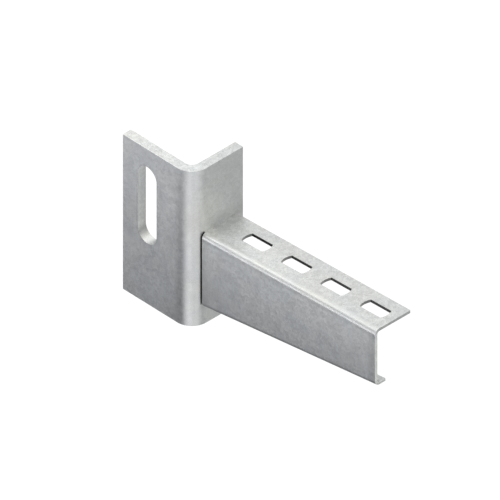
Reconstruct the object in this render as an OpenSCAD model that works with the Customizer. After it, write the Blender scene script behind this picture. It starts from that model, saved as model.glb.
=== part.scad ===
// A welded cantilever bracket of galvanised steel.
// A thick plate bent once into an L wraps the corner of a post and is bolted to it through one tall slot.
// A folded sheet channel stands out from the plate's front leg and rises a little towards its tip.
// +X runs out along the arm, +Y across it towards the post's body, +Z up. Millimetres and degrees.
// The origin is the centre of the tall slot, on the side leg's inner face.

/* [Head plate] */
// Height of the head plate
plate_h = 85; // [80:1:120]
// Thickness of the head plate
plate_t = 5; // [4:0.5:6]
// Length of the side leg, from the front leg's front face
side_leg = 43.4; // [42:0.2:60]
// Length of the front leg, from the side leg's outer face
front_leg = 31.6; // [31:0.2:50]
// Radius inside the plate's bend
bend_r = 4; // [3:0.5:5]

/* [Post slot] */
// Width of the tall slot
slot_w = 11.8; // [9:0.2:13]
// Length of the tall slot, end to end
slot_l = 41.8; // [30:0.2:50]
// Distance from the front leg's front face to the middle of the tall slot
slot_x = 28; // [24:0.5:30]
// Height of the middle of the tall slot above the plate's lower edge
slot_z = 54.2; // [45:0.2:56]

/* [Arm] */
// Length of the arm, measured level from the head plate
arm_l = 110; // [108:1:150]
// Width of the arm across its flange, outside the web
arm_w = 21.8; // [21:0.2:24]
// Thickness of the arm's sheet
sheet_t = 1.5; // [1.2:0.1:2]
// Radius inside the arm's folds
fold_r = 1.3; // [0.8:0.1:1.5]
// Distance from the side leg's outer face to the web's outer face
web_y = 6; // [5.6:0.1:7]
// Height of the flange's upper face above the plate's lower edge, at the root
root_z = 50.5; // [45:0.5:60]
// Upward slope of the flange, in degrees
arm_rise = 3.05; // [0:0.05:5]
// Depth of the arm at its root
root_depth = 40.6; // [36:0.2:42]
// Depth of the arm at its tip
tip_depth = 30.8; // [24:0.2:34]
// Width of the lip folded under the web, outside the web
lip_w = 6.4; // [5:0.2:10]
// Gap left between the web's root and the head plate
root_gap = 0.5; // [0.2:0.1:0.8]

/* [Tray slots] */
// Number of slots along the flange
tray_n = 4; // [1:1:4]
// Distance between the slots
tray_pitch = 25; // [20:0.5:26]
// Distance from the head plate to the middle of the first slot
tray_first = 22.9; // [15:0.1:24]
// Length of each slot across its rounded ends
tray_len = 14.8; // [10:0.2:16]
// Width of each slot between its straight sides
tray_wid = 6.8; // [5:0.2:8]
// Distance from the web's outer face to the middle of the slots
tray_y = 12.1; // [11:0.1:13]

/* [Welds] */
// Leg length of the fillet welds
weld_leg = 3; // [2:0.5:4]
// Length left clear at each end of the flange's weld
weld_end = 2; // [1:0.5:4]

/* [Node] */
// Piece to build

/* [Hidden] */
bend_R = bend_r + plate_t;
fold_R = fold_r + sheet_t;
// The arm's lower edge, as heights above the plate's lower edge at the root and at the tip
low_root = root_z - root_depth;
low_tip = root_z + arm_l * tan(arm_rise) - tip_depth;
taper = atan((low_tip - low_root) / arm_l);
// Underside of the flange where it meets the head plate
under_z = root_z - sheet_t / cos(arm_rise);
// How far across from the web's outer face the gap at the root reaches, most of the way round the folds
relief = fold_R - 0.7;
// Extra length that is trimmed off, and how far a cutting tool runs past a face
spare = 20;
past = 1;
// Straight of the web that each fold's profile carries, half of it shared with the flat
lap = 2;
plate_col = [0.62, 0.63, 0.62];
arm_col = [0.70, 0.71, 0.70];
weld_col = [0.52, 0.52, 0.51];

// Everything is drawn from the corner where the two legs' outer faces would cross,
// at the plate's lower edge, and then moved so that the slot's centre is the origin.
module placed() { translate([slot_x, -plate_t, -slot_z]) children(); }

// The plate's outline seen from above: two legs and a quarter-round bend
module plate_outline() {
    translate([-side_leg, 0]) square([side_leg - bend_R, plate_t]);
    translate([-plate_t, bend_R]) square([plate_t, front_leg - bend_R]);
    translate([-bend_R, bend_R]) intersection() {
        difference() {
            circle(r = bend_R, $fn = 96);
            circle(r = bend_r, $fn = 96);
        }
        translate([0, -bend_R - past]) square([bend_R + past, bend_R + past]);
    }
}

// The tall slot, seen square to the side leg
module post_slot_outline() {
    r = slot_w / 2;
    half = slot_l / 2 - r;
    square([slot_w, 2 * half], center = true);
    for (s = [-1, 1]) translate([0, s * half]) circle(r = r, $fn = 64);
}

module head_plate() {
    color(plate_col) placed() difference() {
        linear_extrude(height = plate_h) plate_outline();
        translate([-slot_x, plate_t + past, slot_z]) rotate([90, 0, 0])
            linear_extrude(height = plate_t + 2 * past) post_slot_outline();
    }
}

// Lays a profile drawn in (across, up) along the arm's length
module along() { rotate([90, 0, 90]) children(); }

// A quarter ring between the fold's inner and outer radius
module quarter_ring(x_dir, y_dir) {
    intersection() {
        difference() {
            circle(r = fold_R, $fn = 64);
            circle(r = fold_r, $fn = 64);
        }
        translate([x_dir < 0 ? -fold_R - past : 0, y_dir < 0 ? -fold_R - past : 0])
            square(fold_R + past);
    }
}

// The flange and its fold, on an axis that slopes with the flange
module arm_top() {
    translate([0, web_y, root_z]) rotate([0, -arm_rise, 0]) translate([-spare, 0, 0]) along()
        linear_extrude(height = arm_l + 2 * spare) {
            translate([fold_R, -sheet_t]) square([arm_w - fold_R, sheet_t]);
            translate([fold_R, -fold_R]) quarter_ring(-1, 1);
            translate([0, -fold_R - 2 * lap]) square([sheet_t, 2 * lap]);
        }
}

// The lip and its fold, on an axis that slopes with the web's lower edge
module arm_low() {
    translate([0, web_y, low_root]) rotate([0, -taper, 0]) translate([-spare, 0, 0]) along()
        linear_extrude(height = arm_l + 2 * spare) {
            translate([fold_R, 0]) square([lip_w - fold_R, sheet_t]);
            translate([fold_R, fold_R]) quarter_ring(-1, -1);
            translate([0, fold_R]) square([sheet_t, 2 * lap]);
        }
}

// The flat of the web, lapping the short straight that each fold ends in
module arm_web() {
    top = root_z - (fold_R + lap) / cos(arm_rise);
    low = low_root + (fold_R + lap) / cos(taper);
    translate([0, web_y + sheet_t, 0]) rotate([90, 0, 0]) linear_extrude(height = sheet_t)
        polygon([
            [-spare, low - spare * tan(taper)],
            [arm_l + spare, low + (arm_l + spare) * tan(taper)],
            [arm_l + spare, top + (arm_l + spare) * tan(arm_rise)],
            [-spare, top - spare * tan(arm_rise)]
        ]);
}

// One slot in the flange: straight sides and shallow round ends
module tray_slot_outline() {
    intersection() {
        circle(d = tray_len, $fn = 96);
        square([tray_len + 2, tray_wid], center = true);
    }
}

module arm() {
    color(arm_col) placed() difference() {
        intersection() {
            union() {
                arm_top();
                arm_web();
                arm_low();
            }
            // both ends are cut plumb
            translate([0, web_y - past, low_root - spare])
                cube([arm_l, arm_w + 2 * past, root_depth + 3 * spare]);
        }
        // the web and the outer part of both folds stop short of the head plate
        translate([-past, web_y - past, low_root - spare])
            cube([past + root_gap, past + relief, root_depth + 3 * spare]);
        for (i = [0:tray_n - 1])
            translate([0, web_y + tray_y, root_z]) rotate([0, -arm_rise, 0])
                translate([tray_first + i * tray_pitch, 0, -sheet_t - past])
                    linear_extrude(height = sheet_t + 2 * past) tray_slot_outline();
    }
}

// Under the flange, against the front leg
module weld_flange() {
    color(weld_col) placed()
        translate([0, web_y + arm_w - weld_end, 0]) rotate([90, 0, 0])
            linear_extrude(height = arm_w - fold_R - 2 * weld_end)
                polygon([
                    [0, under_z],
                    [0, under_z - weld_leg],
                    [weld_leg, under_z + weld_leg * tan(arm_rise)]
                ]);
}

// Inside the web, against the front leg and the last of its bend
module weld_web() {
    low = low_root + fold_R + weld_end;
    high = under_z - weld_leg - 1;
    inner = web_y + sheet_t;
    color(weld_col) placed()
        translate([0, 0, low]) linear_extrude(height = high - low) difference() {
            polygon([
                [-past, inner],
                [weld_leg, inner],
                [0, inner + weld_leg],
                [-past, inner + weld_leg]
            ]);
            plate_outline();
            // nothing behind the plate's front face
            translate([-3 * past, bend_R]) square([3 * past, weld_leg + past]);
        }
}

head_plate();
arm();
weld_flange();
weld_web();
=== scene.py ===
import math

import bmesh
import bpy
from mathutils import Matrix, Vector, noise


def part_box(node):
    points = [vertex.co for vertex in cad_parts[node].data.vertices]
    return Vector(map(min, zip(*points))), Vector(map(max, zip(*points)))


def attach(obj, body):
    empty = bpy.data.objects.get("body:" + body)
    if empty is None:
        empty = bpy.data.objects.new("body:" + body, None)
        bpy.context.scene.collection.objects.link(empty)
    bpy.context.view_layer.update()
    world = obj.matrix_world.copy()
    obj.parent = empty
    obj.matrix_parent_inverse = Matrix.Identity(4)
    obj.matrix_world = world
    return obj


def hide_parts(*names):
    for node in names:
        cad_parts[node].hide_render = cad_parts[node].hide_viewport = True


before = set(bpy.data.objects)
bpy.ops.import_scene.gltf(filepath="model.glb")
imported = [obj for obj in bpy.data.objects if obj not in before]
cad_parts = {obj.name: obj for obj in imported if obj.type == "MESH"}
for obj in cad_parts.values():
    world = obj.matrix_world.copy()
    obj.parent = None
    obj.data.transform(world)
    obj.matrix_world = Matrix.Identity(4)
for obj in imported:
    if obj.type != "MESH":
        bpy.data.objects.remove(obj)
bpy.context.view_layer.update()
MM = 0.001

# ---------------------------------------------------------------- the camera

AZIMUTH, ELEVATION = 45.96, 36.83
PIXELS_PER_MM = 2.273
# the point of the object that the middle of the photograph looks at, in millimetres
LOOK_AT = (49.575, 10.0, -5.73)


def add_camera():
    a, e = math.radians(AZIMUTH), math.radians(ELEVATION)
    back = Vector((math.sin(a) * math.cos(e), -math.cos(a) * math.cos(e), math.sin(e)))
    data = bpy.data.cameras.new("camera")
    data.type = "ORTHO"
    data.ortho_scale = 500 / PIXELS_PER_MM * MM
    data.clip_start, data.clip_end = 0.01, 20.0
    cam = bpy.data.objects.new("camera", data)
    bpy.context.scene.collection.objects.link(cam)
    cam.location = Vector(LOOK_AT) * MM + back * 0.8
    cam.rotation_mode = "QUATERNION"
    cam.rotation_quaternion = (-back).to_track_quat("-Z", "Y")
    bpy.context.scene.camera = cam
    return cam


add_camera()

# ---------------------------------------------------------------- materials


class Nodes:
    """A short way to write a material's nodes."""

    def __init__(self, name):
        self.mat = bpy.data.materials.new(name)
        self.mat.use_nodes = True
        self.tree = self.mat.node_tree
        self.tree.nodes.clear()
        self.out = self.tree.nodes.new("ShaderNodeOutputMaterial")
        self.shader = self.tree.nodes.new("ShaderNodeBsdfPrincipled")
        self.tree.links.new(self.shader.outputs["BSDF"], self.out.inputs["Surface"])
        self.coord = self.tree.nodes.new("ShaderNodeTexCoord").outputs["Object"]

    def link(self, a, b):
        self.tree.links.new(a, b)

    def add(self, kind, **props):
        n = self.tree.nodes.new(kind)
        for k, v in props.items():
            setattr(n, k, v)
        return n

    def noise(self, scale, detail=2.0, rough=0.5, distortion=0.0, vector=None):
        n = self.add("ShaderNodeTexNoise")
        n.inputs["Scale"].default_value = scale
        n.inputs["Detail"].default_value = detail
        n.inputs["Roughness"].default_value = rough
        n.inputs["Distortion"].default_value = distortion
        self.link(vector or self.coord, n.inputs["Vector"])
        return n.outputs["Fac"]

    def ranged(self, value, lo, hi, to_lo, to_hi, smooth=False):
        n = self.add("ShaderNodeMapRange")
        if smooth:
            n.interpolation_type = "SMOOTHSTEP"
        for key, v in (("From Min", lo), ("From Max", hi), ("To Min", to_lo), ("To Max", to_hi)):
            n.inputs[key].default_value = v
        self.link(value, n.inputs["Value"])
        return n.outputs["Result"]

    def math(self, op, *values):
        n = self.add("ShaderNodeMath", operation=op)
        for i, v in enumerate(values):
            if isinstance(v, (int, float)):
                n.inputs[i].default_value = v
            else:
                self.link(v, n.inputs[i])
        return n.outputs[0]

    def product(self, *values):
        total = values[0]
        for v in values[1:]:
            total = self.math("MULTIPLY", total, v)
        return total

    def position(self):
        """The point's coordinates in millimetres."""
        mm = self.add("ShaderNodeVectorMath", operation="SCALE")
        self.link(self.coord, mm.inputs[0])
        mm.inputs["Scale"].default_value = 1000.0
        parts = self.add("ShaderNodeSeparateXYZ")
        self.link(mm.outputs[0], parts.inputs[0])
        return parts.outputs["X"], parts.outputs["Y"], parts.outputs["Z"]

    def mix_colour(self, fac, a, b, blend="MIX"):
        n = self.add("ShaderNodeMix", data_type="RGBA", blend_type=blend)
        for key, v in ((0, fac), (6, a), (7, b)):
            if isinstance(v, (int, float)):
                n.inputs[key].default_value = v
            elif isinstance(v, tuple):
                n.inputs[key].default_value = (*v, 1.0)
            else:
                self.link(v, n.inputs[key])
        return n.outputs[2]


# painted shade: how far the gap behind the web's root and the punched slots' far walls, at the first and the last slot,
# are darkened
CREVICE, SLOT_WALL = 0.33, (0.09, 0.27)
# painted light and shade: how light the cut ends of the web and of the flange are, and how dark the painted shade is
# where the flange meets the head plate
CUT_END, FLANGE_END, JUNCTION_SHADE = 1.38, 0.86, 0.84
# painted shade: how light the web is along its cut end, low down and high up
TIP_EDGE = (0.85, 0.79)
# the arm's outside radius at its folds
FOLD_R = 2.8
# painted shade and light: how light the web's and the side leg's outer faces are at the bottom and at the top
WEB_FADE, SIDE_FADE = (0.845, 1.25), (0.87, 1.11)
# how much the web's lower edge rises for each millimetre along the arm
LOW_RISE = 15.66 / 110.0


def sheet_places(n):
    """Where a point of the arm lies, in millimetres: how far below the flange's upper face, and across from the web."""
    x, y, z = n.position()
    top = n.math("MULTIPLY_ADD", x, math.tan(math.radians(3.05)), -3.7 - 28.0 * math.tan(math.radians(3.05)))
    return x, y, z, n.math("SUBTRACT", top, z)


def sheet_zones(n):
    """Painted shade and light, and grain, of the arm: painted shade on the punched walls and in the crevice at the
    root, painted light and shade over the web, folds and flange, livelier zinc grain on the flange's upper face.
    """
    x, y, z, depth = sheet_places(n)
    # walls of the punched slots: painted shade, darkest along the side away from the web
    below = n.ranged(depth, 0.04, 0.12, 0.0, 1.0, smooth=True)
    in_flange = n.ranged(depth, 1.7, 2.2, 1.0, 0.0)
    inside = n.product(n.ranged(y, 8.0, 9.0, 0.0, 1.0), n.ranged(y, 17.0, 18.0, 1.0, 0.0))
    short_of_tip = n.ranged(x, 136.5, 137.5, 1.0, 0.0)
    wall = n.product(below, in_flange, inside, short_of_tip)
    end_wall = n.ranged(y, 10.0, 16.0, 0.68, 0.40)
    dark = n.math("SUBTRACT", n.ranged(x, 50.0, 126.0, *SLOT_WALL), 1.0)
    far_wall = n.math("MULTIPLY_ADD", n.ranged(y, 16.15, 16.42, 0.0, 1.0), dark, 1.0)
    wall_shade = n.math("SUBTRACT", n.math("MINIMUM", end_wall, far_wall), 1.0)
    shade = n.math("MULTIPLY_ADD", wall, wall_shade, 1.0)
    # painted shade: the upper face is darkened a hair's breadth out from the far edge of each slot
    from_middle = n.math("PINGPONG", n.math("SUBTRACT", x, 50.87), 12.482)
    far_edge = n.product(
        n.ranged(from_middle, 6.35, 6.6, 1.0, 0.0), n.ranged(x, 40.0, 41.0, 0.0, 1.0), n.ranged(depth, 0.1, 0.2, 1.0, 0.0),
        n.ranged(y, 16.44, 16.50, 0.0, 1.0), n.ranged(y, 16.60, 16.72, 1.0, 0.0))
    shade = n.math("MULTIPLY", shade, n.ranged(far_edge, 0.0, 1.0, 1.0, 0.35))
    # painted shade on the cut end of the web inside the gap at the root
    crevice = n.product(
        n.ranged(x, 28.52, 28.60, 1.0, 0.0), n.ranged(y, 2.80, 3.06, 1.0, 0.40), n.ranged(y, 3.06, 3.16, 1.0, 0.0),
        n.ranged(z, -43.2, -42.2, 0.0, 1.0))
    shade = n.math("MULTIPLY", shade, n.ranged(crevice, 0.0, 1.0, 1.0, CREVICE))
    # painted shade and light: the web's outer face is darker towards the lower fold and lighter towards the upper one
    height = n.math("SUBTRACT", z, n.math("MULTIPLY_ADD", x, LOW_RISE, -44.3 - 28.0 * LOW_RISE))
    share = n.math("DIVIDE", height, n.math("ADD", height, depth))
    end_face = n.ranged(x, 137.90, 137.96, 0.0, 1.0)
    body = n.math("SUBTRACT", 1.0, end_face)
    outside = n.product(body, n.ranged(y, 1.1, 1.6, 1.0, 0.0), n.ranged(depth, 2.0, 3.0, 0.15, 1.0, smooth=True))
    low_fold = n.product(n.ranged(share, 0.04, 0.12, 1.0, 0.0), n.ranged(y, 3.8, 4.4, 1.0, 0.0))
    fade = n.math("SUBTRACT", n.math("MULTIPLY", n.ranged(share, 0.03, 0.93, *WEB_FADE), n.ranged(x, 28.0, 138.0, 0.985, 1.05)), 1.0)
    shade = n.math("MULTIPLY", shade, n.math("MULTIPLY_ADD", fade, n.math("MAXIMUM", outside, low_fold), 1.0))
    # painted shade on the web near its cut end at the tip
    near_tip = n.product(outside, n.ranged(x, 132.5, 136.5, 0.0, 1.0, smooth=True))
    tip_shade = n.math("SUBTRACT", n.ranged(share, 0.1, 0.9, *TIP_EDGE), 1.0)
    shade = n.math("MULTIPLY", shade, n.math("MULTIPLY_ADD", near_tip, tip_shade, 1.0))
    # painted shade on the web near the head plate
    near_root = n.product(outside, n.ranged(x, 29.5, 34.0, 1.0, 0.0, smooth=True))
    shade = n.math("MULTIPLY", shade, n.ranged(near_root, 0.0, 1.0, 1.0, 0.86))
    # painted shade on both folds: the upper fold's lower half and the web just below it are darkened, and the lower
    # fold most of all
    skin = n.math("MULTIPLY", body, n.ranged(y, 2.1, 2.4, 1.0, 0.0))
    fold_shade = n.product(skin, n.ranged(depth, 1.2, 1.8, 0.0, 1.0), n.ranged(depth, 3.3, 5.2, 1.0, 0.0, smooth=True))
    shade = n.math("MULTIPLY", shade, n.ranged(fold_shade, 0.0, 1.0, 1.0, 0.89))
    low_edge = n.product(body, n.ranged(height, 0.9, 3.4, 1.0, 0.0, smooth=True), n.ranged(y, 3.8, 4.4, 1.0, 0.0))
    shade = n.math("MULTIPLY", shade, n.ranged(low_edge, 0.0, 1.0, 1.0, 0.70))
    # painted light on the web's cut end and painted shade on the flange's cut end and along the foot of the web's cut
    # end; painted shade on the flange where it meets the head plate
    down_not_over = n.math("SUBTRACT", depth, n.math("SUBTRACT", y, 1.0))
    end_shade = n.ranged(down_not_over, -0.5, 2.6, FLANGE_END - 1.0, CUT_END - 1.0)
    shade = n.math("MULTIPLY", shade, n.math("MULTIPLY_ADD", end_face, end_shade, 1.0))
    rim = n.math("MULTIPLY", end_face, n.ranged(height, 0.3, 1.4, -0.28, 0.0))
    shade = n.math("MULTIPLY", shade, n.math("ADD", rim, 1.0))
    on_top = n.math("MULTIPLY", n.ranged(depth, 0.02, 0.30, 1.0, 0.0, smooth=True), n.ranged(y, 3.0, 4.6, 0.0, 1.0, smooth=True))
    junction_shade = n.product(on_top, n.ranged(x, 32.0, 38.0, 1.0, 0.0, smooth=True), n.ranged(y, 5.5, 10.0, 0.0, 1.0, smooth=True))
    shade = n.math("MULTIPLY", shade, n.ranged(junction_shade, 0.0, 1.0, 1.0, JUNCTION_SHADE))
    # painted shade on the flange's upper face just past the head plate, across its middle
    middle = n.product(
        on_top, n.ranged(x, 34.0, 36.5, 0.0, 1.0), n.ranged(x, 38.5, 43.0, 1.0, 0.0, smooth=True),
        n.ranged(y, 5.5, 7.5, 0.0, 1.0), n.ranged(y, 16.5, 18.5, 1.0, 0.0))
    shade = n.math("MULTIPLY", shade, n.ranged(middle, 0.0, 1.0, 1.0, 0.93))
    # painted light and shade: past the head plate the flange is lighter towards its fold than towards its free edge
    tilt = n.product(on_top, n.ranged(x, 31.0, 37.0, 0.0, 1.0, smooth=True), n.ranged(x, 62.0, 104.0, 1.0, 0.15, smooth=True), n.ranged(y, 7.0, 18.5, 0.07, -0.06))
    shade = n.math("MULTIPLY", shade, n.math("ADD", tilt, 1.0))
    # painted shade: the flange's outer half is a little darker
    outer_half = n.math("MULTIPLY", on_top, n.ranged(x, 60.0, 76.0, 0.0, 1.0, smooth=True))
    shade = n.math("MULTIPLY", shade, n.ranged(outer_half, 0.0, 1.0, 1.0, 0.975))
    return shade, on_top


def plate_zones(n):
    """Painted shade and light, and grain, of the head plate: painted shade in the crevice behind the web's root and
    over the legs, painted light on the upper cut edge and a slot wall, livelier zinc grain on the upper cut edge.
    """
    x, y, z = n.position()
    # painted shade in the crevice behind the web's root
    over, up = n.math("SUBTRACT", y, 1.0 + FOLD_R), n.math("MAXIMUM", n.math("ADD", z, 3.7 + FOLD_R), 0.0)
    from_axis = n.math("SQRT", n.math("MULTIPLY_ADD", over, over, n.math("MULTIPLY", up, up)))
    crevice = n.product(
        n.ranged(x, 27.30, 27.52, 0.0, 1.0), n.ranged(from_axis, FOLD_R, FOLD_R + 0.18, 1.0, 0.0),
        n.ranged(y, 2.2, 3.4, 1.0, 0.0, smooth=True), n.ranged(z, -43.4, -42.4, 0.0, 1.0))
    shade = n.ranged(crevice, 0.0, 1.0, 1.0, CREVICE)
    # painted shade: the front leg is a little darker just above the flange
    junction_shade = n.product(n.ranged(x, 27.6, 27.9, 0.0, 1.0), n.ranged(y, 4.0, 11.0, 0.0, 1.0, smooth=True), n.ranged(z, -3.0, 4.5, 1.0, 0.0, smooth=True), n.ranged(z, -5.0, -4.0, 0.0, 1.0))
    shade = n.math("MULTIPLY", shade, n.ranged(junction_shade, 0.0, 1.0, 1.0, JUNCTION_SHADE))
    # painted shade and light: the side leg's outer face is lighter at the top and darker towards the bottom, and darker
    # still where the bend begins
    bend_skin = n.product(n.ranged(x, 15.0, 17.0, 0.0, 1.0), n.ranged(y, -4.2, -3.6, 1.0, 0.0))
    outside = n.product(n.math("MAXIMUM", n.ranged(y, -4.8, -4.6, 1.0, 0.0), bend_skin), n.ranged(x, 20.8, 23.4, 1.0, 0.0, smooth=True))
    fade = n.math("SUBTRACT", n.ranged(z, -46.0, 20.0, *SIDE_FADE, smooth=True), 1.0)
    shade = n.math("MULTIPLY", shade, n.math("MULTIPLY_ADD", fade, outside, 1.0))
    # painted shade low on the side leg, and at its foot next to the bend
    low_side = n.product(outside, n.ranged(x, 2.0, 18.0, 0.0, 1.0), n.ranged(z, -50.0, -15.0, 1.0, 0.0))
    shade = n.math("MULTIPLY", shade, n.ranged(low_side, 0.0, 1.0, 1.0, 0.90))
    foot = n.product(outside, n.ranged(z, -54.0, -43.0, 1.0, 0.0), n.ranged(x, 16.0, 20.0, 1.0, 0.0))
    shade = n.math("MULTIPLY", shade, n.ranged(foot, 0.0, 1.0, 1.0, 0.90))
    # painted shade where the bend begins, deeper low down
    dip = n.product(bend_skin, n.ranged(x, 16.5, 20.0, 0.0, 1.0, smooth=True), n.ranged(x, 20.9, 22.6, 1.0, 0.0, smooth=True))
    dip_shade = n.ranged(z, 6.0, 26.0, -0.18, -0.07)
    shade = n.math("MULTIPLY", shade, n.math("MULTIPLY_ADD", dip, dip_shade, 1.0))
    # painted light: the tall slot's wall on the side of the free edge is lighter
    slot_wall = n.product(
        n.ranged(y, -4.95, -4.85, 0.0, 1.0), n.ranged(y, -0.15, -0.05, 1.0, 0.0), n.ranged(x, -8.0, -7.0, 0.0, 1.0), n.ranged(x, -4.5, -2.0, 1.0, 0.0),
        n.ranged(z, -18.5, -13.0, 0.0, 1.0, smooth=True), n.ranged(z, 21.5, 22.5, 1.0, 0.0))
    shade = n.math("MULTIPLY", shade, n.math("MULTIPLY_ADD", slot_wall, n.ranged(y, -5.0, 0.0, 0.68, 0.28), 1.0))
    # painted shade: the outer face is a hair darker right round the slot
    past_end = n.math("MAXIMUM", n.math("SUBTRACT", n.math("ABSOLUTE", z), 15.0), 0.0)
    from_slot = n.math("SQRT", n.math("MULTIPLY_ADD", x, x, n.math("MULTIPLY", past_end, past_end)))
    slot_rim = n.product(n.ranged(from_slot, 6.0, 7.0, 1.0, 0.0), n.ranged(y, -4.85, -4.70, 1.0, 0.0), n.ranged(x, 7.5, 8.5, 1.0, 0.0))
    shade = n.math("MULTIPLY", shade, n.ranged(slot_rim, 0.0, 1.0, 1.0, 0.90))
    # painted light and shade: the upper cut edge is lightest along the side leg and darker along the front leg, most of
    # all towards its far end
    on_top = n.ranged(z, 30.6, 30.78, 0.0, 1.0, smooth=True)
    edge_shade = n.math("SUBTRACT", n.math("MULTIPLY", n.ranged(y, 0.0, 5.0, 1.05, 0.965), n.ranged(y, 18.0, 26.0, 1.0, 0.90)), 1.0)
    shade = n.math("MULTIPLY", shade, n.math("MULTIPLY_ADD", on_top, edge_shade, 1.0))
    return shade, on_top


def galvanised(name, cool, warm, zones, rough=0.40, grain=1.0, patch=1.0, bump=1.0):
    """Hot-dip zinc: soft cool and warm patches, a fine spangle of small cells, and a dull uneven gloss."""
    n = Nodes(name)
    shade, lively = zones(n)
    # soft patches a couple of centimetres across drift between a cool and a warm grey
    patches = n.ranged(n.noise(55.0, 3.0, 0.55, 0.3), 0.32, 0.68, 0.0, 1.0, smooth=True)
    colour = n.mix_colour(patches, cool, warm)
    # the spangle: crystals about a millimetre across, each a little lighter or darker
    warp = n.add("ShaderNodeVectorMath", operation="MULTIPLY_ADD")
    n.link(n.add("ShaderNodeTexNoise").outputs["Color"], warp.inputs[0])
    wn = warp.inputs[0].links[0].from_node
    wn.inputs["Scale"].default_value = 420.0
    wn.inputs["Detail"].default_value = 2.0
    n.link(n.coord, wn.inputs["Vector"])
    warp.inputs[1].default_value = (0.0016, 0.0016, 0.0016)
    n.link(n.coord, warp.inputs[2])
    cells = n.add("ShaderNodeTexVoronoi", feature="F1")
    cells.inputs["Scale"].default_value = 800.0
    n.link(warp.outputs[0], cells.inputs["Vector"])
    bw = n.add("ShaderNodeRGBToBW")
    n.link(cells.outputs["Color"], bw.inputs[0])
    # each pattern as a value round zero, then weighted; the faces that lie upward show it more
    spangle = n.ranged(bw.outputs[0], 0.15, 0.85, -0.5, 0.5)
    fine = n.ranged(n.noise(2300.0, 2.0, 0.7), 0.3, 0.7, -0.5, 0.5)
    blots = n.ranged(n.noise(230.0, 3.0, 0.6, 0.4), 0.34, 0.66, -0.5, 0.5)
    spangle = n.math("MULTIPLY", spangle, n.ranged(lively, 0.0, 1.0, 0.105 * grain, 0.20 * grain))
    fine = n.math("MULTIPLY", fine, n.ranged(lively, 0.0, 1.0, 0.165 * grain, 0.42 * grain))
    small = n.math("ADD", spangle, fine)
    large = n.math("MULTIPLY", blots, 0.05 * patch)
    total = n.math("ADD", n.math("ADD", small, large), 1.0)
    # the zones' painted light and shade scale the colour
    total = n.math("MULTIPLY", total, shade)
    grey = n.add("ShaderNodeCombineColor")
    for i in range(3):
        n.link(total, grey.inputs[i])
    colour = n.mix_colour(1.0, colour, grey.outputs[0], "MULTIPLY")
    n.link(colour, n.shader.inputs["Base Color"])
    # gloss varies from crystal to crystal and over the patches
    r1 = n.ranged(bw.outputs[0], 0.15, 0.85, rough - 0.04, rough + 0.04)
    r2 = n.ranged(n.noise(120.0, 3.0, 0.6), 0.3, 0.7, -0.03, 0.04)
    n.link(n.math("ADD", r1, r2), n.shader.inputs["Roughness"])
    # the coat is very slightly uneven
    b = n.add("ShaderNodeBump")
    b.inputs["Strength"].default_value = 0.25 * bump
    b.inputs["Distance"].default_value = 0.00005
    height = n.math("ADD", n.math("MULTIPLY", n.noise(900.0, 3.0, 0.6), 1.0), n.math("MULTIPLY", n.noise(160.0, 2.0, 0.5), 1.5))
    n.link(height, b.inputs["Height"])
    n.link(b.outputs["Normal"], n.shader.inputs["Normal"])
    n.shader.inputs["Metallic"].default_value = 1.0
    return n.mat


PLATE = galvanised("galvanised_plate", (0.608, 0.617, 0.627), (0.627, 0.628, 0.617), plate_zones, bump=0.75)
SHEET = galvanised("galvanised_sheet", (0.608, 0.617, 0.627), (0.627, 0.628, 0.617), sheet_zones, grain=0.85, bump=0.6)


def weld_finish(name):
    """Zinc over weld metal: darker, rougher and more uneven than the sheet."""
    n = Nodes(name)
    tone = n.ranged(n.noise(330.0, 4.0, 0.65, 0.5), 0.3, 0.7, 0.0, 1.0, smooth=True)
    colour = n.mix_colour(tone, (0.36, 0.365, 0.37), (0.56, 0.56, 0.545))
    n.link(colour, n.shader.inputs["Base Color"])
    n.link(n.ranged(n.noise(500.0, 3.0, 0.6), 0.3, 0.7, 0.40, 0.60), n.shader.inputs["Roughness"])
    b = n.add("ShaderNodeBump")
    b.inputs["Strength"].default_value = 0.5
    b.inputs["Distance"].default_value = 0.00008
    n.link(n.noise(900.0, 3.0, 0.6), b.inputs["Height"])
    n.link(b.outputs["Normal"], n.shader.inputs["Normal"])
    n.shader.inputs["Metallic"].default_value = 1.0
    return n.mat


WELD = weld_finish("weld_metal")

# ---------------------------------------------------------------- plate and sheet, with softened edges


def smooth_shaded(obj):
    for p in obj.data.polygons:
        p.use_smooth = True
    m = obj.modifiers.new("face_normals", "WEIGHTED_NORMAL")
    m.mode = "FACE_AREA"
    m.weight = 50
    m.keep_sharp = True


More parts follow.
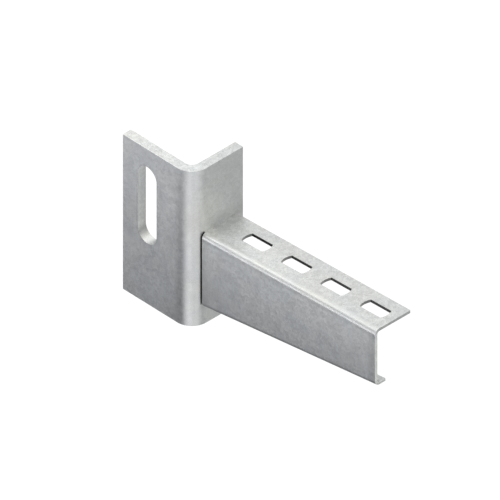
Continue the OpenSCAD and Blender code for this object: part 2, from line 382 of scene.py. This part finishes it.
def softened(node, name, material, edge_mm, corners=(), keep_from=None, cut_every=12.0):
    """A copy of a CAD node whose real edges are slightly rounded, as sheared and dipped steel has them.
    corners are (point in mm, radius in mm) of thickness edges that are rounded more.
    Edges that lie below keep_from along X, in mm, stay as they are: they butt against another piece."""
    bm = bmesh.new()
    bm.from_mesh(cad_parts[node].data)
    bmesh.ops.remove_doubles(bm, verts=bm.verts, dist=2e-6)
    bmesh.ops.dissolve_limit(bm, angle_limit=math.radians(0.5), verts=bm.verts, edges=bm.edges)
    bmesh.ops.recalc_face_normals(bm, faces=bm.faces)
    for point, radius in corners:
        p = Vector(point) * MM
        near = [e for e in bm.edges if ((e.verts[0].co + e.verts[1].co) / 2 - p).length < 0.0004 and e.calc_length() > 0.001]
        bmesh.ops.bevel(bm, geom=near, offset=radius * MM, offset_type="OFFSET", segments=5, profile=0.5, affect="EDGES")
    sharp = [e for e in bm.edges if len(e.link_faces) == 2 and e.calc_face_angle(0.0) > math.radians(30)]
    if keep_from is not None:
        sharp = [e for e in sharp if max(v.co.x for v in e.verts) > keep_from * MM]
    bmesh.ops.bevel(bm, geom=sharp, offset=edge_mm * MM, offset_type="OFFSET", segments=3, profile=0.5, affect="EDGES", clamp_overlap=True)
    # cuts across the long strips of the bend and folds, so that each strip's shading holds all along it
    low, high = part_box(node)
    axis = max(range(3), key=lambda i: high[i] - low[i])
    steps = int((high[axis] - low[axis]) / (cut_every * MM))
    for i in range(1, steps):
        at, across = Vector(low), Vector((0.0, 0.0, 0.0))
        at[axis] = low[axis] + (high[axis] - low[axis]) * (i / steps + 0.003)
        across[axis] = 1.0
        bmesh.ops.bisect_plane(bm, geom=bm.verts[:] + bm.edges[:] + bm.faces[:], plane_co=at, plane_no=across)
    for e in bm.edges:
        e.smooth = not (len(e.link_faces) == 2 and e.calc_face_angle(0.0) > math.radians(40))
    me = bpy.data.meshes.new(name)
    bm.to_mesh(me)
    bm.free()
    me.materials.clear()
    me.materials.append(material)
    obj = bpy.data.objects.new(name, me)
    bpy.context.scene.collection.objects.link(obj)
    smooth_shaded(obj)
    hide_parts(node)
    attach(obj, "root")
    return obj


plate = softened("head_plate", "head_plate_finish", PLATE, 0.07)
# the arm's box: the flange's back corner at the tip is sheared a little round
lo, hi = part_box("arm")
CORNERS = [((hi.x / MM, hi.y / MM, hi.z / MM - 0.75), 0.35)]
arm = softened("arm", "arm_finish", SHEET, 0.05, corners=CORNERS, keep_from=29.0)

# ---------------------------------------------------------------- weld beads


def bead(name, node, start, end, wall_a, wall_b, leg, pitch=1.35, seed=0.0):
    """A fillet weld run laid from start to end in the corner between two faces.
    wall_a and wall_b are the directions in which the two faces leave the corner, leg is the bead's leg in mm."""
    start, end = Vector(start) * MM, Vector(end) * MM
    wall_a, wall_b = Vector(wall_a).normalized(), Vector(wall_b).normalized()
    run = end - start
    length = run.length
    along = run.normalized()
    rings, arc = max(24, int(length / MM * 6)), 14
    bm = bmesh.new()
    loops = []
    for i in range(rings + 1):
        t = i / rings
        d = t * length
        # the run starts and stops in a rounded pool
        end_dist = min(d, length - d) / MM
        taper = math.sqrt(max(0.0, 1.0 - max(0.0, 1.0 - end_dist / (0.8 * leg)) ** 2)) if end_dist < 0.8 * leg else 1.0
        taper = max(taper, 0.06)
        wob = noise.noise(Vector((d / MM * 0.35, seed, 0.0)))
        ring = []
        for j in range(arc + 1):
            u = j / arc
            # leg length along each wall, uneven along the run
            la = leg * taper * (0.90 + 0.08 * wob)
            lb = leg * taper * (0.90 - 0.06 * wob)
            p = wall_a * (la * (1 - u)) + wall_b * (lb * u)
            # crown above the straight line between the two toes, with ripples that trail behind the pool
            crown = math.sin(math.pi * u)
            phase = (d / MM + 0.9 * crown) / pitch
            saw = phase - math.floor(phase)
            ripple = (1 - saw) ** 1.5 if saw > 0.12 else saw / 0.12
            outward = (wall_a + wall_b).normalized()
            p += outward * leg * taper * crown * (0.035 + 0.05 * ripple)
            ring.append(bm.verts.new(start + along * d + p * MM))
        ring.append(bm.verts.new(start + along * d + (wall_a + wall_b) * (0.02 * MM)))
        loops.append(ring)
    n = arc + 2
    for a, b in zip(loops, loops[1:]):
        for j in range(n):
            k = (j + 1) % n
            bm.faces.new((a[j], a[k], b[k], b[j]))
    bm.faces.new(loops[0])
    bm.faces.new(list(reversed(loops[-1])))
    bmesh.ops.recalc_face_normals(bm, faces=bm.faces)
    me = bpy.data.meshes.new(name)
    bm.to_mesh(me)
    bm.free()
    me.materials.append(WELD)
    for p in me.polygons:
        p.use_smooth = True
    obj = bpy.data.objects.new(name, me)
    bpy.context.scene.collection.objects.link(obj)
    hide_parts(node)
    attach(obj, "root")
    return obj


lo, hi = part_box("weld_flange")
bead("weld_flange_bead", "weld_flange", (28.0, lo.y / MM, hi.z / MM - 0.16), (28.0, hi.y / MM, hi.z / MM - 0.16), (0.0, 0.0, -1.0), (1.0, 0.0, 0.0532), 3.0, seed=3.1)
lo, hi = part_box("weld_web")
bead("weld_web_bead", "weld_web", (28.0, 2.5, lo.z / MM), (28.0, 2.5, hi.z / MM), (1.0, 0.0, 0.0), (0.0, 1.0, 0.0), 3.0, seed=8.7)

# ---------------------------------------------------------------- floor and light


def add_floor():
    size, z = 4.0, -0.30
    me = bpy.data.meshes.new("floor")
    me.from_pydata([(-size, -size, z), (size, -size, z), (size, size, z), (-size, size, z)], [], [(0, 1, 2, 3)])
    n = Nodes("floor")
    n.shader.inputs["Base Color"].default_value = (0.02, 0.02, 0.02, 1.0)
    n.shader.inputs["Roughness"].default_value = 0.9
    n.shader.inputs["Emission Color"].default_value = (1.0, 1.0, 1.0, 1.0)
    n.shader.inputs["Emission Strength"].default_value = 1.0
    me.materials.append(n.mat)
    obj = bpy.data.objects.new("floor", me)
    bpy.context.scene.collection.objects.link(obj)
    obj.visible_diffuse = False
    obj.visible_glossy = False
    obj.visible_transmission = False
    obj.visible_shadow = False
    return obj


floor = add_floor()

# The studio: an even soft light from everywhere, and broad soft lights on it.
# azimuth and elevation say where a light is, as the camera's do. spread is the angle at which it has faded to half.
AMBIENT = (0.285, 0.296, 0.313)
SOFT_LIGHTS = (
    # name, azimuth, elevation, spread, strength, colour
    ("roof", 0, 88, 40, 1.82, (1.02, 1.02, 0.96)),
    ("wall_behind", 180, 0, 35, 0.70, (1.02, 1.02, 0.93)),
    ("card_front", 60, 15, 16, 1.03, (1.00, 1.00, 0.99)),
    ("card_right", 90, 15, 16, 1.15, (1.01, 1.01, 0.98)),
    ("card_behind", 120, 15, 16, 0.80, (1.03, 1.03, 0.90)),
    ("strip_left_high", -52, 43, 10, 0.62, (1.01, 1.01, 0.99)),
    ("strip_left_low", -36, -10, 10, 2.25, (1.00, 1.00, 1.02)),
    ("floor_front_a", 15, -37, 10, 0.80, (1.00, 1.00, 1.00)),
    ("floor_front_b", 30, -37, 10, 0.90, (1.00, 1.00, 0.99)),
    ("floor_front_c", 45, -37, 10, 0.93, (1.01, 1.00, 0.99)),
    ("floor_front_d", 75, -37, 10, 1.36, (1.01, 1.01, 0.98)),
    ("floor_behind", 134, -37, 25, 0.15, (1.03, 1.03, 0.90)),
)
NEAR_LIGHTS = (
    # name, azimuth, elevation, distance in m, diameter in m, power in W, colour
    ("near_left_high", -60, 35, 0.30, 0.15, 0.057, (1.00, 1.00, 1.02)),
    ("near_behind", -134, 37, 0.35, 0.25, 0.036, (0.98, 0.98, 1.06)),
    ("near_front", -20, 0, 0.25, 0.20, 0.022, (1.01, 1.00, 0.99)),
    ("near_left_low", -46, -10, 0.30, 0.15, 0.021, (1.00, 0.98, 1.04)),
)


def toward(azimuth, elevation):
    a, e = math.radians(azimuth), math.radians(elevation)
    return Vector((math.sin(a) * math.cos(e), -math.cos(a) * math.cos(e), math.sin(e)))


def add_studio():
    world = bpy.data.worlds.new("studio")
    bpy.context.scene.world = world
    world.use_nodes = True
    tree = world.node_tree
    tree.nodes.clear()

    def node(kind, inputs=(), **props):
        n = tree.nodes.new(kind)
        for k, v in props.items():
            setattr(n, k, v)
        for key, v in inputs:
            if hasattr(v, "is_output"):
                tree.links.new(v, n.inputs[key])
            else:
                n.inputs[key].default_value = v
        return n

    direction = node("ShaderNodeTexCoord").outputs["Generated"]
    total = None
    for name, azimuth, elevation, spread, strength, colour in SOFT_LIGHTS:
        sharpness = math.log(2) / (1 - math.cos(math.radians(spread)))
        dot = node("ShaderNodeVectorMath", [(0, direction), (1, tuple(toward(azimuth, elevation)))], operation="DOT_PRODUCT")
        fade = node("ShaderNodeMath", [(0, dot.outputs["Value"]), (1, sharpness), (2, -sharpness)], operation="MULTIPLY_ADD")
        glow = node("ShaderNodeMath", [(0, fade.outputs[0])], operation="EXPONENT")
        lit = node("ShaderNodeVectorMath", [(0, colour), ("Scale", glow.outputs[0])], operation="SCALE")
        lit = node("ShaderNodeVectorMath", [(0, lit.outputs[0]), ("Scale", strength)], operation="SCALE", name=name)
        total = lit if total is None else node("ShaderNodeVectorMath", [(0, total.outputs[0]), (1, lit.outputs[0])], operation="ADD")
    base = node("ShaderNodeVectorMath", [(0, total.outputs[0]), (1, AMBIENT)], operation="ADD", name="ambient")
    light = node("ShaderNodeBackground", [("Color", base.outputs[0]), ("Strength", 1.0)])
    # the camera itself sees plain white behind everything
    white = node("ShaderNodeBackground", [("Color", (1, 1, 1, 1)), ("Strength", 1.0)])
    seen = node("ShaderNodeLightPath").outputs["Is Camera Ray"]
    mix = node("ShaderNodeMixShader", [("Fac", seen), (1, light.outputs[0]), (2, white.outputs[0])])
    node("ShaderNodeOutputWorld", [("Surface", mix.outputs[0])])

    centre = Vector((0.05, 0.01, -0.01))
    for name, azimuth, elevation, distance, diameter, power, colour in NEAR_LIGHTS:
        back = toward(azimuth, elevation)
        data = bpy.data.lights.new(name, "AREA")
        data.shape, data.size, data.energy, data.color = "DISK", diameter, power, colour
        lamp = bpy.data.objects.new(name, data)
        bpy.context.scene.collection.objects.link(lamp)
        lamp.location = centre + back * distance
        lamp.rotation_mode = "QUATERNION"
        lamp.rotation_quaternion = (-back).to_track_quat("-Z", "Y")
        lamp.visible_camera = False


add_studio()

bpy.context.scene.view_settings.view_transform = "Standard"
